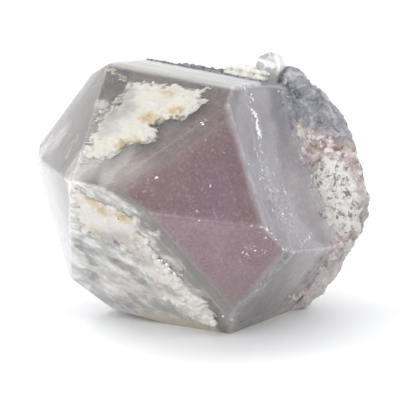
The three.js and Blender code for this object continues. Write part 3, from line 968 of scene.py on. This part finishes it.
def matrix_rock():
    """Broken rock: pinkish brown and granular, glassy blue-grey above, cream and speckled on the right."""
    r = Recipe("matrix_rock")
    warped = r.warped(0.5, 3.2)
    coarse = r.noise(0.45, 5, 0.65, 0.3)
    broad = r.noise(0.16, 4, 0.6, 0.4)
    crumpled = r.warped(1.3, 1.3)
    large = r.grains(0.8, crumpled)
    small = r.grains(2.2, crumpled)
    fine = r.noise(3.4, 5, 0.75)
    creamy = r.spots(CREAM_PATCHES, warped, 0.7)
    orange = r.spots(ORANGE_PATCHES, warped, 1.2)
    crumbly = r.noise(1.5, 5, 0.7, 0.3)
    smooth = 1 - (r.along((0, 1, 0)) + 4 * (coarse - 0.5)).step(-4.5, -1.5)

    behind = ((-9 - r.along(LONG_AXIS)) * 0.125).clamped()
    level = r.along((0, 1, 0), warped) + 7 * (coarse - 0.5) + 30 * (broad - 0.5) * behind
    dark = level.step(10.2, 11.6)
    streaks = r.noise(1, 5, 0.65, 0.5, r.stretched(face_axes("right_prism"), (0.35, 0.45, 0.8)))
    glassy = r.painted(
        GLASSY,
        (coarse.step(0.4, 0.62), GLASSY_PALE),
        (streaks.step(0.5, 0.64) * 0.9, GLASSY_STREAK),
        ((1 - streaks.step(0.35, 0.45)) * 0.8, GLASSY_DARK),
    )
    over = r.along(face_axes("right_prism")[0]) - FACES["right_prism"][2]
    creeping = 1 - over.step(0.2, 0.9)
    shelf = r.along((0, 1, 0)).step(14.8, 15.8) * (1 - r.along((1, 0, 0)).step(7.6, 8.4)) * (1 - behind)
    grainy = (1 - 0.75 * dark) * (1 - 0.6 * smooth)
    # painted shade: dark pits between the grains stand in for the shade in the rock's crevices
    painted_pit_shade = 1 - (small + 0.3 * large - 0.12 * creamy + 0.3 * (fine - 0.5)).step(0.1, 0.28)
    blots = 1 - (large + 0.3 * (fine - 0.5)).step(0.1, 0.18)
    color = r.painted(
        BROWNISH,
        ((0.5 * large + 0.3 * small + 0.4 * fine).step(0.35, 0.85), PINKISH),
        (broad.step(0.5, 0.62) * 0.55, GREY),
        (creamy * (0.5 * coarse + 0.5 * fine).step(0.38, 0.52), CREAM),
        (creamy * small.step(0.62, 0.7) * 0.7, WHITE_CRUMB),
        (creamy * (1 - crumbly.step(0.38, 0.5)) * 0.6, GREY_CRUMB),
        (orange * crumbly.step(0.42, 0.56) * 0.75, ORANGE),
        (smooth * 0.6, TAN),
        # painted shade where the coarse noise is low, standing in for the rock's hollows
        ((1 - coarse.step(0.36, 0.44)) * (1 - creamy) * 0.45, PAINTED_HOLLOW_SHADE),
        (dark, glassy),
        (creeping * (1 - dark) * (0.3 + 0.5 * small), PINK_SKIN),
        (shelf * (0.8 - 0.75 * crumbly.step(0.48, 0.58)), DARK_SLATE),
        ((large + 0.25 * fine).step(0.92, 0.99) * grainy * 0.75, PALE_GRAIN),
        (small.step(0.84, 0.9) * grainy * 0.8, BRIGHT_GRAIN),
        # painted shade in the crevices between the grains
        (painted_pit_shade * 0.75 * grainy, PAINTED_PIT_SHADE),
        (blots * 0.3 * (1 - creamy) * grainy, BLOT),
    )
    bump = r.bump(0.5 * large + 0.3 * small + 0.8 * fine, 0.0005, 0.9)
    rough = 0.75 - 0.35 * dark * (1 - shelf)
    return r.finish(r.principled(base_color=color, roughness=rough, normal=bump))


# Ochre stains on the crusts, by face: place across and up it, radius and strength.
OCHRE = {
    "top_pyramid": (
        (-1.9, 7.9, 1.05, 0.95), (-3.2, 8.3, 0.6, 0.8), (-4.7, 5.7, 0.9, 0.95), (-2.1, 2.9, 1.1, 0.75),
        (-1.6, 13.2, 0.8, 0.95), (-2.4, 12, 0.5, 0.7),
    ),
    "front_pyramid": (
        (2.2, 18.6, 1.1, 0.95), (4.8, 18, 0.95, 1), (1.1, 20.4, 0.9, 0.9), (-0.4, 13.1, 1.2, 0.45),
        (5.8, 14.6, 0.5, 0.6),
    ),
}

# Dark grains in the ochre, by face: place across and up it, and radius.
BLACK_DOTS = {
    "front_pyramid": ((4, 17.5, 0.1), (4.6, 17, 0.09),),
    "top_pyramid": ((-1.9, 7.6, 0.09),),
}

DOT_LEVEL = 0.225  # of the dark grains over the face

# Where the crusts are thin and grey, by face: place across and up it, and radius.
THIN = {
    "top_pyramid": (
        (4.2, 5.7, 1.8), (3.1, 4.2, 1.4), (2.9, 9.4, 1.6), (1.8, 7.4, 1.7), (5.4, 3.6, 1.3),
        (1.6, 11.6, 1.2),
    ),
    "front_pyramid": ((0.2, 12.2, 1.6), (3.6, 13.2, 1.8), (4.4, 9.6, 1.6), (6.6, 3.6, 1.4),),
}

# Colours of each crust: its cream, and the grey or pink of its thin parts.
CHALK = {
    "top_pyramid": ((0.59, 0.565, 0.51), (0.53, 0.52, 0.51)),
    "front_pyramid": ((0.62, 0.59, 0.555), (0.55, 0.495, 0.465)),
    "top_prism": ((0.78, 0.77, 0.72), (0.62, 0.6, 0.56)),
}
OCHRE_STAIN, OCHRE_CORE = (0.45, 0.335, 0.155), (0.27, 0.2, 0.11)
CHALK_LIGHT, CHALK_DARK = (0.72, 0.71, 0.68), (0.4, 0.375, 0.34)
BLACK_GRAIN = (0.09, 0.075, 0.04)


def chalky_crust(face):
    """Cream-white crust with ochre stains, greyer and see-through where it is thin over its face."""
    r = Recipe("chalky_crust")
    cream, shade = CHALK[face]
    grain = r.noise(2.4, 6, 0.75)
    warped = r.warped(1, 1.6)
    uneven = r.noise(0.38, 5, 0.65, 0.5)
    coats = [(uneven.step(0.46, 0.66) * 0.6, shade)]
    thin = 0
    if face in THIN:
        broken = (0.55 + 0.9 * (uneven - 0.5) + 0.8 * (grain - 0.5)).clamped()
        thin = r.face_spots(face, THIN[face], warped, 1.4) * broken
        coats.append((thin, shade))
    for across, upwards, radius, strength in OCHRE.get(face, ()):
        place = on_face(face, across, upwards)
        stain = r.spot(place, radius, 1.3 * radius, warped) * (0.5 + 0.5 * grain.step(0.4, 0.6))
        coats.append((stain * strength, OCHRE_STAIN))
        coats.append((r.spot(place, 0.3 * radius, radius, warped) * strength * 0.5, OCHRE_CORE))
    coats.append((grain.step(0.56, 0.68) * 0.5, CHALK_LIGHT))
    coats.append(((1 - grain.step(0.32, 0.44)) * 0.4, CHALK_DARK))
    for across, upwards, radius in BLACK_DOTS.get(face, ()):
        dot = r.spot(on_face(face, across, upwards, DOT_LEVEL), 2 * radius, radius)
        coats.append((dot, BLACK_GRAIN))
    color = r.painted(cream, *coats)
    depth = r.along(face_axes(face)[0]) - FACES[face][2]
    cover = (depth + 0.5 * (uneven - 0.5)).step(-0.02, CRUST["opaque"]) * (1 - 0.6 * thin)
    bump = r.bump(grain, 0.0003, 0.7)
    return r.finish(r.principled(base_color=color, roughness=0.8, alpha=cover, normal=bump))


def bright_grain():
    """Sugary grains of fresh quartz."""
    r = Recipe("bright_grain")
    sugar = r.noise(3, 2)
    color = r.blend(sugar.step(0.35, 0.6), SUGAR, BRIGHT_SUGAR)
    return r.finish(r.principled(base_color=color, roughness=0.4, coat_weight=0.3))


def pale_floor():
    r = Recipe("pale_floor")
    return r.finish(r.principled(base_color=FLOOR, roughness=0.6))


# ---- the pieces ----
VEIL_MAP = "veil"


def ground_plane(height):
    """The ground raised by a height, as a plane in the crystal's axes that faces down."""
    return -SKYWARDS, MIDDLE.z - height


def planes_of(faces, inset):
    """The planes of these faces as (normal, distance), each moved in by its inset, if it has one."""
    planes = []
    for face, (turn, tilt, distance, *_) in faces.items():
        planes.append((normal_of(turn, tilt), distance - inset.get(face, 0)))
    return planes


def crystal_body(name, faces, inset, root, height):
    """A block cut down to the space inside every face, above the root and the ground raised by a height."""
    bpy.ops.object.select_all(action="DESELECT")
    bpy.ops.mesh.primitive_cube_add(size=BLOCK)
    return sliced(added(name), [*planes_of(faces, inset), (-LONG_AXIS, -root), ground_plane(height)])


def side_crystal():
    """The small blunt crystal beside the main one."""
    size = SIDE_CRYSTAL
    bpy.ops.object.select_all(action="DESELECT")
    half, radius = size["length"] / 2, size["radius"]
    bpy.ops.mesh.primitive_cylinder_add(vertices=6, radius=radius, depth=2 * half, location=(0, 0, half))
    piece = added("side_crystal")
    bpy.ops.object.transform_apply(location=True)
    picked(piece, lambda polygon: polygon.normal.z > 0.9)
    bpy.ops.mesh.extrude_region_move(TRANSFORM_OT_translate={"value": (0, 0, size["tip"])})
    bpy.ops.transform.resize(value=(size["tip_share"], size["tip_share"], 1))
    done()
    lean = Matrix.Rotation(math.radians(size["lean"]), 4, "Z")
    onto_y = Matrix.Rotation(math.radians(-90), 4, "X")
    return moved(piece, Matrix.Translation(size["root"]) @ lean @ onto_y)


def on_edge(first, second, across, upwards):
    """The point of the edge between two faces nearest to a place in the first, closed in on by steps."""
    point = on_face(first, across, upwards)
    for _ in range(EDGE_STEPS):
        for face in (second, first):
            outwards = face_axes(face)[0]
            point += outwards * (FACES[face][2] - point.dot(outwards))
    return point


def chip_scoops():
    """The hollows that small knocks left along the edges, as rough balls."""
    bpy.ops.object.select_all(action="DESELECT")
    bpy.ops.mesh.primitive_ico_sphere_add(subdivisions=3, radius=1)
    size, strength = SCOOP_ROUGHNESS
    ball = roughened(added("scoop"), cloud("scoop_rough", "CLOUDS", size), strength)
    places = []
    for (first, second), chips in CHIPS.items():
        outwards = (face_axes(first)[0] + face_axes(second)[0]).normalized()
        for across, upwards, radius, depth in chips:
            middle = on_edge(first, second, across, upwards) + outwards * (radius - depth)
            turn = Matrix.Rotation(across * 7 + upwards, 4, outwards)
            places.append(Matrix.Translation(middle) @ turn @ Matrix.Scale(radius, 4))
    return scattered("chip_scoops", ball, places)


def bevelled(piece, width, **settings):
    """Rounds the edges of a piece."""
    return modified(piece, "BEVEL", width=width, segments=2, limit_method="ANGLE", **settings)


def quartz_piece():
    """The clear crystal, with the small one grown on it, worn edges and chips."""
    body = crystal_body("quartz_crystal", {**FACES, **KNOCKS}, {}, ROOT_LEVEL, 0)
    small = bevelled(side_crystal(), SIDE_BEVEL)
    modified(body, "BOOLEAN", object=small, operation="UNION", solver="EXACT")
    bpy.data.objects.remove(small)
    bevelled(body, QUARTZ_BEVEL, angle_limit=math.radians(SHARP))
    scoops = chip_scoops()
    modified(body, "BOOLEAN", object=scoops, operation="DIFFERENCE", solver="EXACT", use_self=True)
    bpy.data.objects.remove(scoops)
    only(body)
    bpy.ops.object.shade_smooth_by_angle(angle=math.radians(SMOOTH))
    return laid(body, clear_quartz(), "clear_quartz", "clear_quartz")


def phantom_piece():
    """The dusted crystal within, which has the same faces further in."""
    body = crystal_body("dusted_phantom", FACES, COVER, PHANTOM_ROOT, COVER_UNDERNEATH)
    bevelled(body, PHANTOM_BEVEL, angle_limit=math.radians(SHARP))
    return laid(body, hematite_dust(), "hematite_phantom", "hematite_phantom")


def veil_piece():
    """The milky veils sealed in the clear quartz, as thin crumpled sheets."""
    sheets = []
    for face, veils in VEILS.items():
        for across, upwards, depth, length, width, turn, dip in veils:
            bpy.ops.object.select_all(action="DESELECT")
            bpy.ops.mesh.primitive_grid_add(**VEIL_CELLS, size=1)
            sheet = added("veil")
            sheet.data.uv_layers[0].name = VEIL_MAP
            moved(sheet, Matrix.Diagonal((length, width, 1, 1)))
            roughened(sheet, cloud("veil_crumple", "CLOUDS", 1.5 + 0.2 * length, noise_depth=2), 0.5)
            tip = Matrix.Rotation(math.radians(dip), 4, "X")
            sheets.append(moved(sheet, laid_on(face, across, upwards, -depth, turn) @ tip))
    return laid(joined("milky_veils", sheets), milky_veil(), "clear_quartz")


def rim_places(rock):
    """Where the rock ends on each prism face: the points of its front edge, half a millimetre apart."""
    rim = {}
    for face in RIM_FACES:
        outwards, along_u, _ = face_axes(face)
        for vertex in rock.data.vertices:
            above = vertex.co.dot(outwards) - FACES[face][2]
            if RIM["reach"][0] < above < RIM["reach"][1] and vertex.co.z > ROOT_LEVEL:
                step = (face, round(vertex.co.dot(along_u) / RIM["step"]))
                if step not in rim or vertex.co.z > rim[step].z:
                    rim[step] = vertex.co.copy()
    return rim


def tumbled(dice, place, size):
    """The matrix that puts a lump of this size at a place, turned at random."""
    turn = Matrix.Rotation(dice.uniform(0, FULL_TURN), 4, Vector((dice.random(), dice.random(), 1)))
    return Matrix.Translation(place) @ turn @ Matrix.Scale(size, 4)


def rim_lumps(name, rim, number, sizes, knobs=()):
    """Lumps of rock that close the rim of the socket and straggle up the crystal's faces."""
    dice = random.Random(RIM["seed"])
    places = []
    for (face, _), edge in rim.items():
        outwards, along_u, _ = face_axes(face)
        creep = RIM["creep"] * max(noise.noise(edge * RIM["creep_scale"]), RIM["least_creep"])
        for _ in range(number):
            size = dice.uniform(*sizes)
            upwards = creep + dice.expovariate(1 / RIM["straggle"]) - RIM["behind"]
            point = edge + along_u * dice.gauss(0, RIM["drift"]) + LONG_AXIS * upwards
            point += outwards * (FACES[face][2] - point.dot(outwards) + size * RIM["lift"])
            places.append(tumbled(dice, point, size))
    places += [tumbled(dice, (x, y, z), size) for x, y, z, size in knobs]
    return scattered(name, grain_template(name, LUMP_ROUGHNESS, 7), places)


def ledge_crumbs():
    """The crumbs of the dark ledge, each as place and size."""
    dice = random.Random(RIM["seed"])
    start, end = LEDGE["ends"]
    crumbs = []
    for i in range(LEDGE["crumbs"] * round((end - start) / LEDGE["step"])):
        x = start + i * LEDGE["step"] / LEDGE["crumbs"]
        z = LEDGE["level"] + LEDGE["slant"] * x - abs(dice.gauss(0, LEDGE["spread"]))
        size = dice.uniform(*LEDGE["size"])
        crumbs.append((x, FACES["top_prism"][2] - LEDGE["sink"] * size, z, size))
    return crumbs


def closed_up(rock):
    """Draws the wall of the rock's socket, and the rock near it, down onto the crystal."""
    planes = planes_of(FACES, {})
    for vertex in rock.data.vertices:
        above, outwards = max(((vertex.co.dot(n) - far, n) for n, far in planes), key=lambda pair: pair[0])
        pull = 1 - (above - GAP) / SOCKET_REACH
        if vertex.co.z > ROOT_LEVEL - GAP and above > 0 and pull > 0:
            vertex.co -= outwards * min(above + SOCKET_BITE, (GAP + SOCKET_BITE) * min(pull, 1) ** 0.5)


def rock_piece():
    """The rock on the crystal's root, broken up, drawn onto the crystal and strewn with crumbs."""
    rock = packed_copy("rock_matrix", "broken_rock")
    coarse, fine = ROCK["voxels"]
    modified(rock, "REMESH", mode="VOXEL", voxel_size=coarse)
    rim = rim_places(rock)
    lumps = rim_lumps("rim_lumps", rim, RIM["lumps"], RIM["lump_size"], KNOBS)
    rock = joined("broken_rock", [rock, lumps])
    modified(rock, "REMESH", mode="VOXEL", voxel_size=fine)
    for kind, size, strength, middle, settings in ROCK["roughness"]:
        roughened(rock, cloud("rock_" + kind.lower(), kind, size, **settings), strength, middle)
    closed_up(rock)
    modified(rock, "DECIMATE", ratio=ROCK["kept"])
    crumbs = rim_lumps("rim_crumbs", rim, RIM["crumbs"], RIM["crumb_size"], ledge_crumbs())
    rock = joined("broken_rock", [rock, crumbs])
    sliced(rock, [ground_plane(0)])
    return laid(rock, matrix_rock(), "rock_matrix", "rock_matrix")


def inside(outline, x, y):
    """Whether a point lies inside an outline."""
    within = False
    for (x1, y1), (x2, y2) in zip(outline, outline[1:] + outline[:1]):
        if (y1 > y) != (y2 > y) and x < x1 + (y - y1) * (x2 - x1) / (y2 - y1):
            within = not within
    return within


def extent(outline):
    """The least and the most of an outline across its face, then the same up it."""
    xs, ys = zip(*outline)
    return min(xs), max(xs), min(ys), max(ys)


def ragged(outline, margin, seed):
    """A test for a place well inside an outline, whose edge wanders and is toothed."""
    compass = [(margin * math.cos(a), margin * math.sin(a)) for a in COMPASS]

    def test(polygon):
        across, upwards, _ = polygon.center
        x, y = across, upwards
        for scale, amount, layer in (CRUST["wander"], CRUST["teeth"]):
            drift = noise.noise_vector(Vector((across, upwards, seed + layer)) * scale) * amount
            x, y = x + drift.x, y + drift.y
        return all(inside(outline, x + dx, y + dy) for dx, dy in compass)

    return test


def flake(outline, thickness, margin, seed):
    """A plate with a ragged edge, this far inside the outline."""
    left, right, bottom, top = extent(outline)
    width, height = right - left + 2, top - bottom + 2
    columns, rows = round(width / CRUST["cell"]), round(height / CRUST["cell"])
    bpy.ops.object.select_all(action="DESELECT")
    bpy.ops.mesh.primitive_grid_add(x_subdivisions=columns, y_subdivisions=rows, size=1)
    plate = added("flake")
    middle = Vector(((right + left) / 2, (top + bottom) / 2, 0))
    moved(plate, Matrix.Translation(middle) @ Matrix.Diagonal((width, height, 1, 1)))
    test = ragged(outline, margin, seed)
    picked(plate, lambda polygon: not test(polygon))
    bpy.ops.mesh.delete(type="FACE")
    done()
    return modified(plate, "SOLIDIFY", thickness=thickness, offset=1)


def grain_template(name, roughness, seed):
    """One small broken lump, a millimetre across."""
    bpy.ops.object.select_all(action="DESELECT")
    bpy.ops.mesh.primitive_ico_sphere_add(subdivisions=2, radius=0.5, location=(seed, 0, 0))
    bpy.ops.object.transform_apply(location=True)
    lump = roughened(added(name), cloud(name, "VORONOI", 0.4), roughness)
    return moved(lump, Matrix.Translation((-seed, 0, 0)))


def crust_piece(node, name, face):
    """A crust on its face: thin ragged plates, one on another, with lumps grown over them."""
    shape = CRUSTS[node]
    dice = random.Random(shape["seed"])
    plates = []
    for margin, thickness in CRUST["terraces"]:
        plates.append(flake(shape["outline"], thickness * shape["depth"], margin, shape["seed"] + margin))
    spots = [(x, y) for x, y in shape["clusters"] for _ in range(CRUST["cluster_lumps"])]
    left, right, bottom, top = extent(shape["outline"])
    for _ in range(shape["lumps"]):
        spots.append((dice.uniform(left, right), dice.uniform(bottom, top)))
    places = []
    for x, y in spots:
        x, y = x + dice.gauss(0, CRUST["stray"]), y + dice.gauss(0, CRUST["stray"])
        if inside(shape["outline"], x, y):
            size = dice.uniform(*shape["lump_size"])
            places.append(tumbled(dice, (x, y, shape["depth"] * CRUST["rise"]), size))
    lumps = scattered("lumps", grain_template("lump", LUMP_ROUGHNESS, shape["seed"]), places)
    crust = joined(name, [*plates, lumps])
    modified(crust, "REMESH", mode="VOXEL", voxel_size=CRUST["voxel"], use_smooth_shade=True)
    for kind, size, strength in CRUST["roughness"]:
        roughened(crust, cloud(f"{name}_{kind}", "CLOUDS", size, noise_depth=3), strength)
    moved(crust, laid_on(face, above=-CRUST["sink"]))
    return laid(crust, chalky_crust(face), "crust", node)


def sparkle_piece():
    """Bright grains stuck on the faces of the crystal."""
    dice = random.Random(SPARKLE_SEED)
    places = []
    for face, spots in SPARKLES.items():
        for across, upwards, size in spots:
            for share, drift in SPARKLE_SHARDS:
                grain = size * share * dice.uniform(*SPARKLE_SIZE)
                u, w = across + dice.gauss(0, drift), upwards + dice.gauss(0, drift)
                length = grain * dice.uniform(*SPARKLE_STRETCH)
                shape = Matrix.Diagonal((length, grain, grain * SPARKLE_FLATNESS, 1))
                places.append(laid_on(face, u, w, SPARKLE_FLOOR.get(face, 0), dice.uniform(0, 360)) @ shape)
    grains = scattered("bright_grains", grain_template("bright_grain", GRAIN_ROUGHNESS, 3), places)
    return laid(grains, bright_grain(), "crust")


# ---- the room ----
CAMERA_FROM_MIDDLE = Vector((1.995, -183.31, 21.168))  # mm
CAMERA_ELEVATION = 7
LENS = 124.87  # mm, on the default sensor

# The softboxes, in metres and watts: place, size, power and colour.
SOFTBOXES = {
    "window": ((-0.4, 0.08, 0.62), 0.42, 1.55, (1, 0.99, 0.97)),
    "fill": ((-0.3, -0.72, 0.16), 0.5, 3.4, (1, 0.99, 0.98)),
}
LIT_POINT = Vector((0, 0, 0.015))
SKY = 1.04  # strength of the white world


def placed(name, data):
    """An object of the scene that holds this camera or light."""
    thing = bpy.data.objects.new(name, data)
    bpy.context.scene.collection.objects.link(thing)
    return thing


def camera():
    """The camera, in front of the specimen and a little above it."""
    data = bpy.data.cameras.new("camera")
    data.lens = LENS
    data.clip_start = 0.01
    eye = placed("camera", data)
    eye.location = (MIDDLE + CAMERA_FROM_MIDDLE) * MM
    eye.rotation_euler = (math.radians(90 - CAMERA_ELEVATION), 0, 0)
    bpy.context.scene.camera = eye


def softbox(name, place, size, power, color):
    """A square light aimed at the specimen."""
    data = bpy.data.lights.new(name, "AREA")
    data.size = size
    data.energy = power
    data.color = color
    light = placed(name, data)
    light.location = place
    light.rotation_euler = (LIT_POINT - Vector(place)).to_track_quat("-Z", "Y").to_euler()


def room():
    """The pale floor, the white world and the softboxes."""
    bpy.ops.object.select_all(action="DESELECT")
    bpy.ops.mesh.primitive_plane_add(size=6)
    floor = added("floor")
    floor.data.materials.append(pale_floor())
    world = bpy.data.worlds.new("room")
    bpy.context.scene.world = world
    world.use_nodes = True
    background = world.node_tree.nodes["Background"]
    background.inputs["Color"].default_value = (1, 1, 1, 1)
    background.inputs["Strength"].default_value = SKY
    for name, setting in SOFTBOXES.items():
        softbox(name, *setting)
    bpy.context.scene.view_settings.view_transform = "Standard"


camera()
quartz_piece()
phantom_piece()
veil_piece()
rock_piece()
crust_piece("upper_crust", "upper_chalky_crust", "top_pyramid")
crust_piece("lower_crust", "lower_chalky_crust", "front_pyramid")
crust_piece("rear_crust", "rear_chalky_crust", "top_prism")
sparkle_piece()
room()
